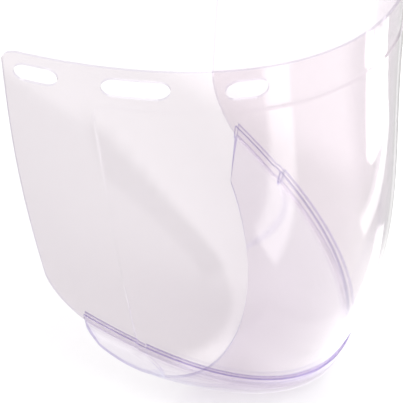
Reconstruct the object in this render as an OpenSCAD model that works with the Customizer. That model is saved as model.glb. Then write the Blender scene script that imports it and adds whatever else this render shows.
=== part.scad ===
// Face shield window with a clear chin guard. Millimetres, +Z up, the wearer looks along -Y and
// +X is on the wearer's left.
// The origin is at the centre of the headgear band, on its inner face at the height of the slots.

/* [Window] */
// Half width of the curve the top edge follows
top_half_width = 131; // [120:1:150]
// Depth of the curve the top edge follows
top_depth = 188; // [160:1:210]
// Angle the top edge sweeps on each side of the centre
top_sweep = 73.7; // [60:0.5:85]
// Rise of the top edge from the centre to where the curve would turn square to the front
top_rise = 20.5; // [0:0.5:28]
// Height of the top edge above the slot line, at the centre
top_margin = 12; // [10:0.5:18]
// Height of the window at the centre
window_height = 219; // [180:1:240]
// Half width of the curve the bottom edge follows
bottom_half_width = 93; // [80:0.5:105]
// Depth of the curve the bottom edge follows
bottom_depth = 167.5; // [150:0.5:185]
// How far behind the top curve's centre the bottom curve's centre lies
bottom_back = 3.5; // [0:0.5:15]
// How far the front corners of the bottom curve are squared out
bottom_square = 3; // [0:0.5:8]
// Angle the bottom edge sweeps on each side of the centre
bottom_sweep = 69.9; // [60:0.1:80]
// Rise of the bottom edge from the centre to where the curve would turn square to the front
bottom_rise = 89.5; // [40:0.5:100]
// Wall thickness of the window
window_wall = 1.5; // [1:0.1:2.5]
// Corner radius at the rear of the top edge
top_corner = 6; // [2:0.5:15]
// Corner radius at the rear of the bottom edge
bottom_corner = 22; // [5:0.5:30]
// How far the front of the window bulges out
bulge = 12.5; // [0:0.5:16]
// How low the bulge sits: 1 is at mid height, more is lower
bulge_low = 1.85; // [1:0.05:2.5]
// How far the rear edges bow out at mid height
rear_bow = 4; // [0:0.5:8]

/* [Viewing area] */
// How far the viewing area stands out from the band around it
step_out = 0.8; // [0.3:0.1:2]
// Distance from the top edge to the step, at the centre
band_height = 24; // [20:0.5:35]
// Width of the sloping face of the step
step_width = 1.2; // [0.8:0.1:5]
// Share of the half width at which the side steps lie, at the top
side_step = 0.838; // [0.7:0.001:0.95]
// How far the side steps close in towards the bottom, as a share of the half width
side_lean = 0.072; // [0:0.001:0.1]
// Corner radius of the viewing area
step_corner = 7; // [3:0.5:15]

/* [Slots] */
// Height of every slot
slot_height = 11; // [8:0.5:14]
// Length of the short slots
short_slot = 20.5; // [15:0.5:30]
// Length of the long slots
long_slot = 31.5; // [24:0.5:40]
// Angle on the top curve of the short slots nearest the centre
front_slot_angle = 36.2; // [30:0.1:42]
// Angle on the top curve of the long slots
mid_slot_angle = 54.3; // [48:0.1:60]
// Angle on the top curve of the short slots nearest the rear edge
rear_slot_angle = 69; // [66:0.1:70]

/* [Edge rails] */
// Angle the rails reach on the bottom curve
rail_sweep = 64; // [60:0.1:68]
// Angle at which the front rail meets the side rails
joint_angle = 52.5; // [45:0.5:60]
// Gap between a rail and the window it grips
rail_gap = 0.1; // [0.05:0.05:0.2]
// Wall thickness of the side rails
side_rail_wall = 0.9; // [0.8:0.1:2]
// Wall thickness of the front rail
front_rail_wall = 1.3; // [1:0.1:2.5]
// Height the side rails reach up the window
side_rail_lip = 5.8; // [3:0.1:10]
// Height the front rail reaches up the window
front_rail_lip = 6.2; // [3:0.1:12]
// Thickness of a rail under the window's edge
rail_base = 1.2; // [1:0.1:3]

/* [Chin guard] */
// Half width of the curve the throat edge follows
throat_half_width = 80.5; // [65:0.5:90]
// Depth of the curve the throat edge follows
throat_depth = 56.5; // [45:0.5:80]
// Distance of the throat curve's centre in front of the top curve's centre
throat_front = 49.5; // [30:0.5:60]
// Angle the throat edge sweeps on each side of the centre
throat_sweep = 66.4; // [55:0.1:70]
// Depth of the throat edge below the window's bottom edge, at the centre
throat_drop = 20; // [15:1:40]
// Rise of the throat edge from the centre to where the curve would turn square to the front
throat_rise = 78; // [50:1:100]
// How far the guard bellies out below the rails
belly = 5; // [0:0.5:20]
// Share of the throat edge's half width at which the creases reach it; they start at the rail joints
crease_end = 0.65; // [0.5:0.01:0.9]
// How far the cup stands out from the flat side wings at a crease
crease_step = 3.5; // [0:0.5:6]
// Width of the sloping face of a crease, as a share of the guard's half width
crease_width = 0.015; // [0.01:0.005:0.05]
// Wall thickness of the chin guard
guard_wall = 1.8; // [1:0.1:3]

/* [Hidden] */
bottom_z = top_margin - window_height;
step_z = top_margin - band_height;
mid_a = (top_half_width + bottom_half_width) / 2;
mid_b = (top_depth + bottom_depth) / 2;
crease_start = joint_angle / rail_sweep;
clear_tint = [0.93, 0.91, 0.96, 0.35];
rail_tint = [0.72, 0.66, 0.84, 0.6];
guard_tint = [0.88, 0.85, 0.93, 0.45];

function unit3(v) = v / norm(v);
function smooth(x) = let(c = max(0, min(1, x))) c * c * (3 - 2 * c);
function corner(s, r) = s >= r ? 0 : r - sqrt(max(0, r * r - (r - s) * (r - s)));

// The top and bottom edges of the window's inner face; a is the angle from the mirror plane.
function top_edge(a) =
    [top_half_width * sin(a), top_depth * (1 - cos(a)), top_margin + top_rise * (1 - cos(a))];
function bottom_edge(a) =
    [bottom_half_width * sin(a) + bottom_square * sin(3 * a),
     top_depth + bottom_back - bottom_depth * cos(a), bottom_z + bottom_rise * (1 - cos(a))];
function outward(a) = unit3([sin(a) / mid_a, -cos(a) / mid_b, 0]);

// A point of the wall: t runs -1 to 1 across, z is the height, off is measured outward.
function wall(t, z, off) =
    let(p = top_edge(t * top_sweep), q = bottom_edge(t * bottom_sweep), n = outward(t * top_sweep))
    let(v = (p[2] - z) / (p[2] - q[2]), low = max(0, v), c = max(0, cos(t * 90)))
    p + (q - p) * v + n * (off + bulge * sin(180 * pow(low, bulge_low)) * c)
      + [-n[1], n[0], 0] * sign(t) * pow(abs(t), 4) * rear_bow * sin(180 * low);

// The developed length of half the top edge, which turns a share of the half width into mm.
function total(v, i = 0) = i < len(v) ? v[i] + total(v, i + 1) : 0;
half_length = total([for (i = [0:39])
    norm(top_edge((i + 1) * top_sweep / 40) - top_edge(i * top_sweep / 40))]);

// Columns lean in by as much as the side steps do, so that one column follows each step line.
function leaned(t, z) =
    let(c = t < 0 ? -1 : 1, s = abs(t), v = (top_edge(t * top_sweep)[2] - z) / window_height)
    t - c * side_lean * v * (s < side_step ? s / side_step : (1 - s) / (1 - side_step));

// Distance inside the border of the viewing area, from the side step and the top step.
function inside(t, z) =
    let(top = top_rise * (1 - cos(t * top_sweep)),
        s = (side_step - side_lean * (top_margin + top - z) / window_height - abs(t)) * half_length,
        h = step_z + top - z, r = step_corner, u = r - s, w = r - h)
    (u > 0 && w > 0) ? r - sqrt(u * u + w * w) : min(s, h);
function raised(t, z) = step_out * smooth(inside(t, z) / step_width);

// A closed shell between two grids of points with the same shape.
module shell(outer, inner) {
    m = len(outer);
    n = len(outer[0]);
    pts = [each [for (r = outer) each r], each [for (r = inner) each r]];
    k = m * n;
    polyhedron(pts, [
        for (i = [0:m - 2], j = [0:n - 2]) each [
            [i * n + j, i * n + j + 1, (i + 1) * n + j + 1],
            [i * n + j, (i + 1) * n + j + 1, (i + 1) * n + j],
            [k + i * n + j, k + (i + 1) * n + j + 1, k + i * n + j + 1],
            [k + i * n + j, k + (i + 1) * n + j, k + (i + 1) * n + j + 1]],
        for (j = [0:n - 2]) each [
            [j, k + j + 1, j + 1], [j, k + j, k + j + 1],
            [(m - 1) * n + j, (m - 1) * n + j + 1, k + (m - 1) * n + j + 1],
            [(m - 1) * n + j, k + (m - 1) * n + j + 1, k + (m - 1) * n + j]],
        for (i = [0:m - 2]) each [
            [i * n, (i + 1) * n, k + (i + 1) * n], [i * n, k + (i + 1) * n, k + i * n],
            [i * n + n - 1, k + (i + 1) * n + n - 1, (i + 1) * n + n - 1],
            [i * n + n - 1, k + i * n + n - 1, k + (i + 1) * n + n - 1]]],
        convexity = 10);
}

// The window: columns crowd at the rounded rear corners and the side steps, rows at the top step.
module window_sheet() {
    rear = [for (i = [0:8]) 1 - bottom_corner * (1 - cos(i * 11.25)) / half_length];
    step = [for (i = [0:4]) side_step + 0.001 - i * (step_width + step_corner * 0.4) / half_length / 3];
    half = concat(rear, [0.873], step, [for (i = [0:18]) (side_step - 0.03) * (19 - i) / 20 + 0.012]);
    cols = concat(-half, [0], [for (i = [len(half) - 1:-1:0]) half[i]]);
    function row_z(t, j) =
        let(s = (1 - abs(t)) * half_length,
            hi = top_edge(t * top_sweep)[2] - corner(s, top_corner),
            lo = bottom_edge(t * bottom_sweep)[2] + corner(s, bottom_corner),
            h = step_z + top_rise * (1 - cos(t * top_sweep)))
        j < 4 ? hi + (h + 1 - hi) * j / 4
        : j < 9 ? h + 1 - (j - 4) * (step_width + 2) / 4
        : (h - 1 - step_width) + (lo - (h - 1 - step_width)) * (j - 8) / 12;
    grid = [for (j = [0:20]) [for (c = cols) let(t = leaned(c, row_z(c, j))) [t, row_z(t, j)]]];
    shell([for (r = grid) [for (q = r) wall(q[0], q[1], raised(q[0], q[1]) + window_wall)]],
          [for (r = grid) [for (q = r) wall(q[0], q[1], raised(q[0], q[1]))]]);
}

// A rounded slot through the band, at angle a on the top curve.
module slot(a, length) {
    t = a / top_sweep;
    function line(t) = wall(t, top_rise * (1 - cos(t * top_sweep)), 0);
    along = unit3(line(t + 0.01) - line(t - 0.01));
    out = unit3(cross(along, wall(t, 4, 0) - wall(t, -4, 0)));
    up = cross(out, along);
    c = line(t);
    r = slot_height / 2;
    multmatrix([[along[0], up[0], out[0], c[0]], [along[1], up[1], out[1], c[1]],
                [along[2], up[2], out[2], c[2]], [0, 0, 0, 1]]) {
        translate([r - length / 2, 0, -12]) cylinder(h = 24, r = r, $fn = 32);
        translate([length / 2 - r, 0, -12]) cylinder(h = 24, r = r, $fn = 32);
        translate([r - length / 2, -r, -12]) cube([length - 2 * r, 2 * r, 24]);
    }
}

module window() {
    color(clear_tint) difference() {
        window_sheet();
        for (side = [-1, 1]) {
            slot(side * front_slot_angle, short_slot);
            slot(side * mid_slot_angle, long_slot);
            slot(side * rear_slot_angle, short_slot);
        }
    }
}

// A U channel that grips the window's bottom edge between the angles a0 and a1.
module rail(a0, a1, steps, lip, thick) {
    g = rail_gap;
    w = window_wall;
    function at(a, off, z) =
        let(t = a / bottom_sweep, e = bottom_edge(a), s = raised(t, e[2] + z))
        (z > 0 ? wall(t, e[2] + z, off + s) : e + outward(t * top_sweep) * (off + s) + [0, 0, z]);
    angles = [for (i = [0:steps]) a0 + (a1 - a0) * i / steps];
    function path(offs) = [for (q = offs) [for (a = angles) at(a, q[0], q[1])]];
    shell(path([[w + g + thick * 0.6, lip], [w + g + thick, lip - 0.8], [w + g + thick, lip / 2],
                [w + g + thick, 0], [w + g + thick, -rail_base], [w / 2, -rail_base],
                [-g - thick, -rail_base], [-g - thick, 0], [-g - thick, lip / 2],
                [-g - thick, lip - 0.8], [-g - thick * 0.6, lip]]),
          path([[w + g, lip], [w + g, lip - 0.8], [w + g, lip / 2], [w + g, 0.2], [w + g, -g], [w / 2, -g],
                [-g, -g], [-g, 0.2], [-g, lip / 2], [-g, lip - 0.8], [-g, lip]]));
}

module front_rail() {
    color(rail_tint) rail(-joint_angle + 0.1, joint_angle - 0.1, 44, front_rail_lip, front_rail_wall);
}

module left_rail() {
    color(rail_tint) rail(joint_angle + 0.1, rail_sweep, 8, side_rail_lip, side_rail_wall);
}

module right_rail() {
    color(rail_tint) rail(-rail_sweep, -joint_angle - 0.1, 8, side_rail_lip, side_rail_wall);
}

// The guard runs from under the rails, down and back to the throat edge. A crease on each side leaves
// the rail joint and parts the cup from a flat wing; the columns lean with it.
function throat_edge(u) =
    let(a = u * throat_sweep)
    [throat_half_width * sin(a), top_depth - throat_front - throat_depth * cos(a),
     bottom_z - throat_drop + throat_rise * (1 - cos(a))];
function curve(p, q, r, v) = p * (1 - v) * (1 - v) + q * 2 * v * (1 - v) + r * v * v;
function crease_lean(c, v) =
    let(s = abs(c))
    c - (c < 0 ? -1 : 1) * (crease_start - crease_end) * v
        * (s < crease_start ? s / crease_start : (1 - s) / (1 - crease_start));
function guard(c, v, deep) =
    let(u = crease_lean(c, v), a = u * rail_sweep, n = outward(a),
        e = bottom_edge(a) + n * raised(a / bottom_sweep, bottom_edge(a)[2]) - [0, 0, rail_base + 0.05],
        hi = e + n * (window_wall + 0.9 - deep * guard_wall * 1.4),
        cup = smooth((crease_start - abs(c)) / crease_width + 1) * crease_step,
        mid = e + n * (window_wall - 0.6 + cup - deep * guard_wall) - [0, 0, belly + cup - deep * guard_wall],
        lo = throat_edge(u) + [0, 0, deep * guard_wall])
    curve(hi, mid, lo, v);

module chin_guard() {
    half = concat([for (i = [0:3]) 1 - (0.97 - crease_start) * i / 3],
                  [for (i = [0:2]) crease_start + crease_width * (1 - i / 2)],
                  [for (i = [1:17]) crease_start * (1 - i / 18)]);
    us = concat(-half, [0], [for (i = [len(half) - 1:-1:0]) half[i]]);
    vs = [for (i = [0:12]) i / 12];
    color(guard_tint) {
        shell([for (v = vs) [for (u = us) guard(u, v, 0)]], [for (v = vs) [for (u = us) guard(u, v, 1)]]);
    }
}

window();
chin_guard();
front_rail();
left_rail();
right_rail();
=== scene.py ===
"""Face shield window with a clear chin guard: looks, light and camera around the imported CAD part."""
import math
import bmesh
import bpy
import numpy as np
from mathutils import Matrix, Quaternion, Vector


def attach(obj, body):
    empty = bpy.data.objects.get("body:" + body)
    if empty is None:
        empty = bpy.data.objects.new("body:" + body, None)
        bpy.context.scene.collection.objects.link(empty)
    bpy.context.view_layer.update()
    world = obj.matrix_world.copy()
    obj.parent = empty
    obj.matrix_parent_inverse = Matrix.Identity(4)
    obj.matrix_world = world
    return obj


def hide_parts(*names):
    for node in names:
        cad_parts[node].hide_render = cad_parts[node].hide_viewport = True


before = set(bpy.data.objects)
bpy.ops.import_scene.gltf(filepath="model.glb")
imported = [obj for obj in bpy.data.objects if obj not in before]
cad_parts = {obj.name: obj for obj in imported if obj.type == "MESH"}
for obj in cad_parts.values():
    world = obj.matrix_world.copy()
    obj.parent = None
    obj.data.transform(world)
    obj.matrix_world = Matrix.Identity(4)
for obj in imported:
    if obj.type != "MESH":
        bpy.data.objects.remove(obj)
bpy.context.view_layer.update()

scene = bpy.context.scene

# ---------------------------------------------------------------- sizes, metres and degrees
TOP_A, TOP_B, TOP_SWEEP, TOP_RISE, MARGIN = 0.131, 0.188, 73.7, 0.0205, 0.012
BOT_A, BOT_B, BOT_SWEEP, BOT_RISE = 0.093, 0.1675, 69.9, 0.0895
BACK, SQUARE = 0.0035, 0.003
HEIGHT, WALL, TOP_CORNER, BOT_CORNER = 0.219, 0.0015, 0.0065, 0.022
BULGE, BULGE_LOW, REAR_BOW = 0.0125, 1.85, 0.004
STEP_OUT, BAND, STEP_W = 0.0008, 0.024, 0.0012
SIDE_STEP, SIDE_LEAN, STEP_R = 0.838, 0.072, 0.007
SLOT_R, SLOTS = 0.0055, ((36.2, 0.0205), (54.3, 0.0315), (69.0, 0.0205))
RAIL_SWEEP, JOINT, JOINT_GAP = 64.0, 52.5, 0.1
RAIL_GAP, RAIL_BASE, EDGE_R = 0.0001, 0.0012, 0.0005
FRONT_LIP, FRONT_THICK, SIDE_LIP, SIDE_THICK = 0.0062, 0.0013, 0.0058, 0.0009
GUARD_WALL, GUARD_RIM, GUARD_IN, UNDER_RAIL, BELLY = 0.0018, 0.0009, 0.0006, 0.00005, 0.005
CREASE_END, CREASE_STEP, CREASE_W = 0.65, 0.0035, 0.015
THROAT_A, THROAT_B, THROAT_FRONT = 0.0805, 0.0565, 0.0495
THROAT_SWEEP, THROAT_DROP, THROAT_RISE = 66.4, 0.020, 0.078
BOT_Z, STEP_Z, CREASE = MARGIN - HEIGHT, MARGIN - BAND, JOINT / RAIL_SWEEP
SPAN = 0.200  # half the top edge, measured round the curve


def cosd(a):
    return math.cos(math.radians(a))


def sind(a):
    return math.sin(math.radians(a))


def smooth(x):
    x = max(0.0, min(1.0, x))
    return x * x * (3 - 2 * x)


# ---------------------------------------------------------------- materials
def tree(name):
    m = bpy.data.materials.new(name)
    m.use_nodes = True
    nt = m.node_tree
    nt.nodes.clear()
    return m, nt


def node(nt, kind, **inputs):
    n = nt.nodes.new(kind)
    for k, v in inputs.items():
        n.inputs[k.replace("_", " ")].default_value = v
    return n


def maths(nt, operation, a, b):
    """A maths node of an output and a number or another output."""
    n = nt.nodes.new("ShaderNodeMath")
    n.operation = operation
    nt.links.new(a, n.inputs[0])
    if isinstance(b, float):
        n.inputs[1].default_value = b
    else:
        nt.links.new(b, n.inputs[1])
    return n.outputs[0]


def spread(nt, value, low, high):
    """The value from 0 to 1 spread from low to high."""
    n = node(nt, "ShaderNodeMapRange", To_Min=low, To_Max=high)
    nt.links.new(value, n.inputs["Value"])
    return n.outputs["Result"]


def clear_plastic(name, body, edge, power, rough, haze, bump, mirror=(0.055, 1.0)):
    """Thin clear moulded plastic. Light passes straight through, tinted more the more edge-on the sheet is
    seen, with a little haze, moulding ripples and scuffs. The reflected share runs between mirror's two
    values, from face-on to edge-on."""
    m, nt = tree(name)
    link = nt.links.new
    out = node(nt, "ShaderNodeOutputMaterial")
    tex = node(nt, "ShaderNodeTexCoord")
    ripple = node(nt, "ShaderNodeTexNoise", Scale=22.0, Detail=1.0)
    scuff = node(nt, "ShaderNodeTexNoise", Scale=900.0, Detail=3.0)
    link(tex.outputs["Object"], ripple.inputs["Vector"])
    stretch = node(nt, "ShaderNodeMapping")
    stretch.inputs["Scale"].default_value = (1.0, 1.0, 0.06)
    link(tex.outputs["Object"], stretch.inputs["Vector"])
    link(stretch.outputs["Vector"], scuff.inputs["Vector"])
    bumps = node(nt, "ShaderNodeBump", Strength=bump, Distance=0.0006)
    link(ripple.outputs["Fac"], bumps.inputs["Height"])

    facing = node(nt, "ShaderNodeLayerWeight", Blend=0.5).outputs["Facing"]
    tint = nt.nodes.new("ShaderNodeMix")
    tint.data_type = "RGBA"
    tint.inputs["A"].default_value = (*body, 1)
    tint.inputs["B"].default_value = (*edge, 1)
    link(maths(nt, "POWER", facing, power), tint.inputs["Factor"])
    through = nt.nodes.new("ShaderNodeBsdfTransparent")
    link(tint.outputs["Result"], through.inputs["Color"])

    cloudy = node(nt, "ShaderNodeBsdfTranslucent", Color=(0.9, 0.88, 0.94, 1))
    hazy = nt.nodes.new("ShaderNodeMixShader")
    link(spread(nt, scuff.outputs["Fac"], haze * 0.5, haze * 1.5), hazy.inputs[0])
    link(through.outputs[0], hazy.inputs[1])
    link(cloudy.outputs[0], hazy.inputs[2])

    shine = node(nt, "ShaderNodeBsdfGlossy", Roughness=rough, Color=(1, 1, 1, 1))
    link(bumps.outputs["Normal"], shine.inputs["Normal"])
    mix = nt.nodes.new("ShaderNodeMixShader")
    link(spread(nt, maths(nt, "POWER", facing, 4.0), *mirror), mix.inputs[0])
    link(hazy.outputs[0], mix.inputs[1])
    link(shine.outputs[0], mix.inputs[2])
    link(mix.outputs[0], out.inputs["Surface"])
    return m


SHEET = clear_plastic("clear_sheet", body=(0.905, 0.877, 0.895), edge=(0.76, 0.71, 0.77), power=4.0,
                      rough=0.02, haze=0.01, bump=0.10, mirror=(0.055, 0.85))
RIM = clear_plastic("clear_sheet_rim", body=(0.90, 0.88, 0.92), edge=(0.70, 0.66, 0.78), power=1.5,
                    rough=0.08, haze=0.10, bump=0.10)
GUARD = clear_plastic("clear_guard", body=(0.945, 0.926, 0.95), edge=(0.86, 0.82, 0.89), power=3.2,
                      rough=0.04, haze=0.01, bump=0.15, mirror=(0.035, 0.5))
RAIL = clear_plastic("clear_rail", body=(0.996, 0.99, 0.996), edge=(0.66, 0.60, 0.80), power=3.6,
                     rough=0.05, haze=0.01, bump=0.15, mirror=(0.025, 0.6))
# Painted shade and sheen: the faces along the chin guard's creases take a darker tint and a stronger
# reflection.
PAINTED_CREASE_SHADE = clear_plastic("clear_painted_crease_shade", body=(0.90, 0.88, 0.94), edge=(0.76, 0.71, 0.86), power=2.0,
                     rough=0.05, haze=0.02, bump=0.15, mirror=(0.14, 0.7))
EDGE = clear_plastic("clear_edge", body=(0.60, 0.54, 0.78), edge=(0.38, 0.31, 0.62), power=1.5,
                     rough=0.08, haze=0.03, bump=0.15)


# ---------------------------------------------------------------- the pieces, on the CAD part's curves
def top_edge(a):
    return np.array((TOP_A * sind(a), TOP_B * (1 - cosd(a)), MARGIN + TOP_RISE * (1 - cosd(a))))


def bottom_edge(a):
    return np.array((BOT_A * sind(a) + SQUARE * sind(3 * a), TOP_B + BACK - BOT_B * cosd(a),
                     BOT_Z + BOT_RISE * (1 - cosd(a))))


def outward(a):
    v = np.array((sind(a) / (TOP_A + BOT_A), -cosd(a) / (TOP_B + BOT_B), 0.0))
    return v / np.linalg.norm(v)


def wall(t, z, off):
    """A point of the window: t runs -1 to 1 across, z is the height, off is measured outward."""
    p, q, n = top_edge(t * TOP_SWEEP), bottom_edge(t * BOT_SWEEP), outward(t * TOP_SWEEP)
    v = (p[2] - z) / (p[2] - q[2])
    low = max(0.0, v)
    out = off + BULGE * sind(180 * low ** BULGE_LOW) * max(0, cosd(t * 90))
    bow = np.array((-n[1], n[0], 0)) * math.copysign(t ** 4, t) * REAR_BOW * sind(180 * low)
    return p + (q - p) * v + n * out + bow


def leaned(t, z):
    """Columns lean in by as much as the side steps do, so that one column follows each step line."""
    s, v = abs(t), (top_edge(t * TOP_SWEEP)[2] - z) / HEIGHT
    share = s / SIDE_STEP if s < SIDE_STEP else (1 - s) / (1 - SIDE_STEP)
    return t - math.copysign(SIDE_LEAN, t) * v * share


def step_height(t):
    return STEP_Z + TOP_RISE * (1 - cosd(t * TOP_SWEEP))


def raised(t, z):
    """How far the viewing area stands out at this point."""
    depth = (MARGIN + TOP_RISE * (1 - cosd(t * TOP_SWEEP)) - z) / HEIGHT
    s, h = (SIDE_STEP - SIDE_LEAN * depth - abs(t)) * SPAN, step_height(t) - z
    u, w = STEP_R - s, STEP_R - h
    d = STEP_R - math.hypot(u, w) if u > 0 and w > 0 else min(s, h)
    return STEP_OUT * smooth(d / STEP_W)


def corner(s, r):
    """How far a corner of radius r cuts back at a distance s from the edge."""
    return 0.0 if s >= r else r - math.sqrt(max(0.0, r * r - (r - s) ** 2))


def face_outward(me):
    bm = bmesh.new()
    bm.from_mesh(me)
    bmesh.ops.recalc_face_normals(bm, faces=bm.faces)
    bm.to_mesh(me)
    bm.free()


def shell(name, outer, inner, mats, first_rim=True, dark=None):
    """A closed sheet between two grids of points. The sheet's faces take the first material and its rim the
    second. Without first_rim, the rim along the first row takes the first material too. dark(i, j) is true
    for the faces that take the last material."""
    outer, inner = np.array(outer), np.array(inner)
    m, n = outer.shape[:2]
    k = m * n
    faces = []
    for i in range(m - 1):
        for j in range(n - 1):
            a, b, c, d = i * n + j, i * n + j + 1, (i + 1) * n + j + 1, (i + 1) * n + j
            faces.append((a, d, c, b))
            faces.append((k + a, k + b, k + c, k + d))
    body = len(faces)
    for j in range(n - 1):
        e = (m - 1) * n + j
        faces.append((j, j + 1, k + j + 1, k + j))
        faces.append((e, k + e, k + e + 1, e + 1))
    for i in range(m - 1):
        a, d = i * n, (i + 1) * n
        faces.append((a, k + a, k + d, d))
        a, d = a + n - 1, d + n - 1
        faces.append((a, d, k + d, k + a))
    me = bpy.data.meshes.new(name)
    points = np.concatenate([outer.reshape(-1, 3), inner.reshape(-1, 3)])
    me.from_pydata([tuple(v) for v in points], [], faces)
    for mat in mats:
        me.materials.append(mat)
    for i, p in enumerate(me.polygons):
        plain = i < body or (not first_rim and i < body + 2 * (n - 1) and (i - body) % 2 == 0)
        p.material_index = 0 if plain else 1
        if i < body and dark and dark(i // 2 // (n - 1), i // 2 % (n - 1)):
            p.material_index = len(mats) - 1
    o = bpy.data.objects.new(name, me)
    scene.collection.objects.link(o)
    face_outward(me)
    return o


def polish(o, angle=0.6):
    """Smooth shading, with a sharp break wherever two faces meet at more than this angle."""
    bm = bmesh.new()
    bm.from_mesh(o.data)
    for f in bm.faces:
        f.smooth = True
    for e in bm.edges:
        e.smooth = len(e.link_faces) == 2 and e.calc_face_angle(0.0) < angle
    bm.to_mesh(o.data)
    bm.free()


def slot_mesh(t, length):
    """A solid with round ends that cuts one slot through the band."""
    def line(k):
        return Vector(wall(k, TOP_RISE * (1 - cosd(k * TOP_SWEEP)), 0))

    c, along = line(t), (line(t + 0.01) - line(t - 0.01)).normalized()
    out = along.cross(Vector(wall(t, 0.004, 0) - wall(t, -0.004, 0))).normalized()
    rise, half = out.cross(along), length / 2 - SLOT_R
    ring = [(end * half + SLOT_R * cosd(a), SLOT_R * sind(a))
            for end in (1, -1) for a in (-90 * end + 7.5 * i for i in range(25))]
    n = len(ring)
    points = [c + along * x + rise * y + out * d for d in (-0.01, 0.01) for x, y in ring]
    faces = [tuple(range(n))[::-1], tuple(range(n, 2 * n))]
    faces += [(i, (i + 1) % n, n + (i + 1) % n, n + i) for i in range(n)]
    me = bpy.data.meshes.new("cutter")
    me.from_pydata([tuple(v) for v in points], [], faces)
    for mat in (SHEET, RIM):
        me.materials.append(mat)
    for p in me.polygons:
        p.material_index = 1
    face_outward(me)
    return me


def add_window():
    """The window: columns crowd at the rounded rear corners and the side steps, rows at the top step."""
    cols = set(np.linspace(-1, 1, 201))
    for side in (-1, 1):
        cols |= {side * (1 - BOT_CORNER * (1 - cosd(5 * i)) / SPAN) for i in range(19)}
        cols |= set(side * (SIDE_STEP + 0.001 - 0.009 * np.linspace(0, 1, 24) / SPAN))
    cols = sorted(cols)

    def column(t):
        s = (1 - abs(t)) * SPAN
        hi = top_edge(t * TOP_SWEEP)[2] - corner(s, TOP_CORNER)
        lo = bottom_edge(t * BOT_SWEEP)[2] + corner(s, BOT_CORNER)
        h = step_height(t)
        return [*np.linspace(hi, h + 0.0004, 12), *np.linspace(h, h - 0.009, 24),
                *np.linspace(h - 0.011, lo, 56)]

    grid = []
    for c in cols:
        ts = [leaned(c, z) for z in column(c)]
        grid.append([(t, column(t)[j]) for j, t in enumerate(ts)])
    outer = [[wall(t, z, raised(t, z) + WALL) for t, z in c] for c in grid]
    inner = [[wall(t, z, raised(t, z)) for t, z in c] for c in grid]
    o = shell("window_smooth", outer, inner, [SHEET, RIM])
    for side in (-1, 1):
        for a, length in SLOTS:
            cutter = bpy.data.objects.new("cutter", slot_mesh(side * a / TOP_SWEEP, length))
            scene.collection.objects.link(cutter)
            mod = o.modifiers.new("slot", "BOOLEAN")
            mod.operation, mod.solver, mod.object = "DIFFERENCE", "EXACT", cutter
            cut = bpy.data.meshes.new_from_object(o.evaluated_get(bpy.context.evaluated_depsgraph_get()))
            o.modifiers.clear()
            o.data = cut
            bpy.data.objects.remove(cutter)
    return o


def add_rail(name, a0, a1, steps, lip, thick):
    """A U channel round the window's bottom edge from angle a0 to a1, its lips and one base corner darker."""
    r, face, side = EDGE_R, WALL + RAIL_GAP, WALL + RAIL_GAP + thick

    def at(a, off, z):
        t, e = a / BOT_SWEEP, bottom_edge(a)
        s = raised(t, e[2] + z)
        if z > 0:
            return wall(t, e[2] + z, off + s)
        return e + outward(t * TOP_SWEEP) * (off + s) + np.array((0, 0, z))

    def profile(half, base):
        """The outer half of the channel's outline, its middle, and the same half on the inner side."""
        return [*half, (WALL / 2, base), *((WALL - off, z) for off, z in reversed(half))]

    out = profile([(face + thick * 0.5, lip), (face + thick * 0.85, lip - r * 0.4), (side, lip - r * 1.4),
                   (side, lip * 0.5), (side, 0), (side, r - RAIL_BASE), (side - r, -RAIL_BASE)], -RAIL_BASE)
    ins = profile([(face, lip), (face, lip - r), (face, lip * 0.7), (face, lip * 0.5), (face, 0.0003),
                   (face, 0.0), (face, -RAIL_GAP)], -RAIL_GAP)
    angles = np.linspace(a0, a1, steps + 1)
    return shell(name, [[at(a, *q) for a in angles] for q in out], [[at(a, *q) for a in angles] for q in ins],
                 [RAIL, EDGE], dark=lambda i, j: i in (0, 5, 13))


def add_guard():
    """The chin guard: columns run from under the rails to the throat edge and lean with the creases."""
    def point(c, v, deep):
        k, inset = abs(c), deep * GUARD_WALL
        share = k / CREASE if k < CREASE else (1 - k) / (1 - CREASE)
        u = c - math.copysign(CREASE - CREASE_END, c) * v * share
        a, b = u * RAIL_SWEEP, u * THROAT_SWEEP
        n, e = outward(a), bottom_edge(a)
        e = e + n * raised(a / BOT_SWEEP, e[2]) - np.array((0, 0, RAIL_BASE + UNDER_RAIL))
        cup = smooth((CREASE - k) / CREASE_W + 1) * CREASE_STEP
        hi = e + n * (WALL + GUARD_RIM - inset * 1.4)
        mid = e + n * (WALL - GUARD_IN + cup - inset) - np.array((0, 0, BELLY + cup - inset))
        lo = np.array((THROAT_A * sind(b), TOP_B - THROAT_FRONT - THROAT_B * cosd(b),
                       BOT_Z - THROAT_DROP + THROAT_RISE * (1 - cosd(b)) + inset))
        return hi * (1 - v) ** 2 + mid * 2 * v * (1 - v) + lo * v * v

    side = np.linspace(CREASE + CREASE_W * 1.05, CREASE - CREASE_W * 0.05, 12)
    us = sorted({*np.linspace(-1, 1, 181), *side, *(-c for c in side)})
    vs = np.linspace(0, 1, 49)
    # The faces along each crease take the painted crease shade and sheen.
    return shell("chin_guard_smooth", [[point(u, v, 0) for u in us] for v in vs],
                 [[point(u, v, 1) for u in us] for v in vs], [GUARD, EDGE, PAINTED_CREASE_SHADE], first_rim=False,
                 dark=lambda i, j: CREASE < abs(us[j] + us[j + 1]) / 2 < CREASE + CREASE_W and i > 1)


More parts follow.
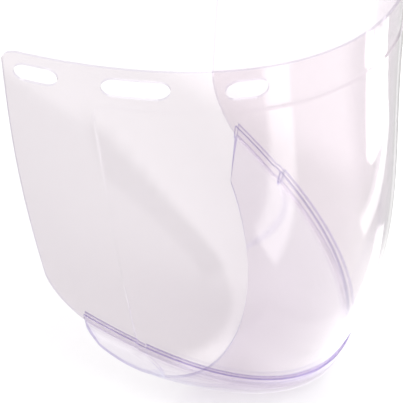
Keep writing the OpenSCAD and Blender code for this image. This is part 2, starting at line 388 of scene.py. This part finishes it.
made = ((add_window(), "window", "clear_sheet"),
        (add_guard(), "chin_guard", "clear_guard"),
        (add_rail("front_rail_smooth", JOINT_GAP - JOINT, JOINT - JOINT_GAP, 160, FRONT_LIP, FRONT_THICK),
         "front_rail", "clear_rail"),
        (add_rail("left_rail_smooth", JOINT + JOINT_GAP, RAIL_SWEEP, 20, SIDE_LIP, SIDE_THICK),
         "left_rail", "clear_rail"),
        (add_rail("right_rail_smooth", -RAIL_SWEEP, -JOINT - JOINT_GAP, 20, SIDE_LIP, SIDE_THICK),
         "right_rail", "clear_rail"))
for o, stands_for, slot_name in made:
    polish(o)
    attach(o, "root")
    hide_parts(stands_for)

# ---------------------------------------------------------------- camera
AZ, EL, DIST, ROLL = -64.02, 37.97, 1.686, 0.35
back = Vector((sind(AZ) * cosd(EL), -cosd(AZ) * cosd(EL), sind(EL)))
right = Vector((cosd(AZ), sind(AZ), 0))
up = back.cross(right)
target = Vector((0, 0.186, -0.0805)) + right * 0.0802 - up * 0.0668
cam_data = bpy.data.cameras.new("camera")
cam = bpy.data.objects.new("camera", cam_data)
scene.collection.objects.link(cam)
scene.camera = cam
cam.location = target + back * DIST
cam.rotation_mode = "QUATERNION"
cam.rotation_quaternion = Quaternion(back, math.radians(ROLL)) @ (-back).to_track_quat("-Z", "Y")
cam_data.sensor_width = 36
cam_data.lens = 303.6
scene.view_settings.view_transform = "Standard"
scene.cycles.transparent_max_bounces = 48
scene.cycles.max_bounces = 16
scene.cycles.glossy_bounces = 8

# ---------------------------------------------------------------- stage and light
floor_z = BOT_Z - THROAT_DROP - 0.0005
bpy.ops.mesh.primitive_plane_add(size=12, location=(0, 0, floor_z))
floor = bpy.context.object
floor.name = "floor"
# Flat white paper with a faint fibre mottle, and painted shade: darker on the shield's side of a soft line,
# a shade brighter beyond it towards the back right.
paper, nt = tree("paper_with_painted_shade")
where = node(nt, "ShaderNodeTexCoord")
across = nt.nodes.new("ShaderNodeVectorMath")
across.operation = "DOT_PRODUCT"
slope = right * 0.515 + up * 0.857
across.inputs[1].default_value = slope
nt.links.new(where.outputs["Object"], across.inputs[0])
# Painted shade ramp: 0.79 on the shield's side of the line, 0.97 beyond it.
brighter = node(nt, "ShaderNodeMapRange")
brighter.interpolation_type = "SMOOTHSTEP"
start = slope.dot(target - Vector((0, 0, floor_z))) + 0.043
brighter.inputs["From Min"].default_value = start
brighter.inputs["From Max"].default_value = start + 0.0255
brighter.inputs["To Min"].default_value = 0.79
brighter.inputs["To Max"].default_value = 0.97
nt.links.new(across.outputs["Value"], brighter.inputs["Value"])
fibre = node(nt, "ShaderNodeTexNoise", Scale=140.0, Detail=6.0, Roughness=0.65)
nt.links.new(where.outputs["Object"], fibre.inputs["Vector"])
mottle = spread(nt, fibre.outputs["Fac"], 0.985, 1.015)
tone = maths(nt, "MULTIPLY", brighter.outputs["Result"], mottle)
grey = nt.nodes.new("ShaderNodeCombineColor")
for k in range(3):
    nt.links.new(tone, grey.inputs[k])
diffuse = node(nt, "ShaderNodeBsdfDiffuse")
nt.links.new(grey.outputs["Color"], diffuse.inputs["Color"])
nt.links.new(diffuse.outputs[0], node(nt, "ShaderNodeOutputMaterial").inputs["Surface"])
floor.data.materials.append(paper)

world = bpy.data.worlds.new("studio")
scene.world = world
world.use_nodes = True
bg = world.node_tree.nodes["Background"]
bg.inputs["Color"].default_value = (1, 1, 1, 1)
bg.inputs["Strength"].default_value = 1.05


def area(name, at, size, power, to=(0, 0.1, -0.1)):
    """A soft square light at a point, aimed at another."""
    l = bpy.data.lights.new(name, "AREA")
    l.energy = power
    l.size = size
    o = bpy.data.objects.new(name, l)
    scene.collection.objects.link(o)
    o.location = at
    o.rotation_mode = "QUATERNION"
    o.rotation_quaternion = (Vector(to) - Vector(at)).to_track_quat("-Z", "Y")


area("key", (-1.0, -1.0, 1.4), 0.9, 16.4)
area("fill", (1.2, -0.1, 1.3), 1.2, 9.4)


def card(x, y, cx, cy, length, width, turn, soft):
    """1 on a flat card centred at cx, cy and turned anticlockwise, falling to 0 around it."""
    dx, dy = x - cx, y - cy
    along, over = dx * cosd(turn) + dy * sind(turn), dy * cosd(turn) - dx * sind(turn)
    return smooth((length / 2 - abs(along)) / soft + 1) * smooth((width / 2 - abs(over)) / soft + 1)


# An emitting board lies on the floor and shows only in the plastic's reflections: painted reflections of
# light and shade. It is laid out for this one camera: a painted shade with a rounded end on the left, a
# painted dark band along its edge, and five lighter cards that paint highlights. Each card has its centre,
# length, width, turn, softness and added light.
CARDS = ((-0.120, -0.150, 0.105, 0.035, 105, 0.012, 1.5),
         (0.205, -0.125, 0.110, 0.045, 40, 0.005, 5.0),
         (0.160, -0.090, 0.150, 0.020, 15, 0.006, 1.5),
         (0.075, -0.015, 0.110, 0.015, 155, 0.006, 2.5),
         (-0.030, 0.015, 0.120, 0.080, 0, 0.005, 0.25))


# Painted reflection: the board's glow, lowered by the painted shade and the painted dark band, with a dimmer
# patch under the part, plus the cards' painted highlights.
def board_light(x, y):
    reach = math.hypot((x + 0.17) / 0.09, min(0.0, y - 0.12) / 0.14)
    light = 1.2 + 0.6 * smooth((x + 0.17) / 0.09) - 0.7 * smooth((x - 0.06) / 0.08)
    light *= 1 - 0.4 * smooth((x + 0.085) / 0.02) * smooth((y - 0.015) / 0.03)
    light *= 1 - 0.62 * smooth((1.05 - reach) / 0.12)
    painted_dark_band = smooth((0.18 - abs(reach - 0.90)) / 0.10)
    painted_dark_band *= smooth((-0.155 - x) / 0.015) * smooth((0.11 - y) / 0.02)
    light *= 1 - 0.99 * painted_dark_band
    return light + sum(c[6] * card(x, y, *c[:6]) for c in CARDS)


NX, NY = 161, 121
xs, ys = np.linspace(-0.5, 0.5, NX), np.linspace(-0.5, 0.22, NY)
points = [(x, y, floor_z + 0.0005) for y in ys for x in xs]
faces = [(k, k + 1, k + NX + 1, k + NX) for j in range(NY - 1) for k in range(j * NX, j * NX + NX - 1)]
board_mesh = bpy.data.meshes.new("painted_reflection_board")
board_mesh.from_pydata(points, [], faces)
glow = board_mesh.attributes.new("glow", "FLOAT", "POINT")
for i, (x, y, z) in enumerate(points):
    glow.data[i].value = board_light(x, y)
board = bpy.data.objects.new("painted_reflection_board", board_mesh)
scene.collection.objects.link(board)
# The board glows with the painted reflection's light; it is no lamp, and only reflections see it.
painted_reflection_material, nt = tree("painted_reflection_glow")
strength = nt.nodes.new("ShaderNodeAttribute")
strength.attribute_name = "glow"
emission = node(nt, "ShaderNodeEmission", Color=(0.98, 1.0, 0.96, 1))
nt.links.new(strength.outputs["Fac"], emission.inputs["Strength"])
nt.links.new(emission.outputs[0], node(nt, "ShaderNodeOutputMaterial").inputs["Surface"])
board_mesh.materials.append(painted_reflection_material)
board.visible_camera = False
board.visible_diffuse = False
board.visible_shadow = False
board.visible_transmission = False
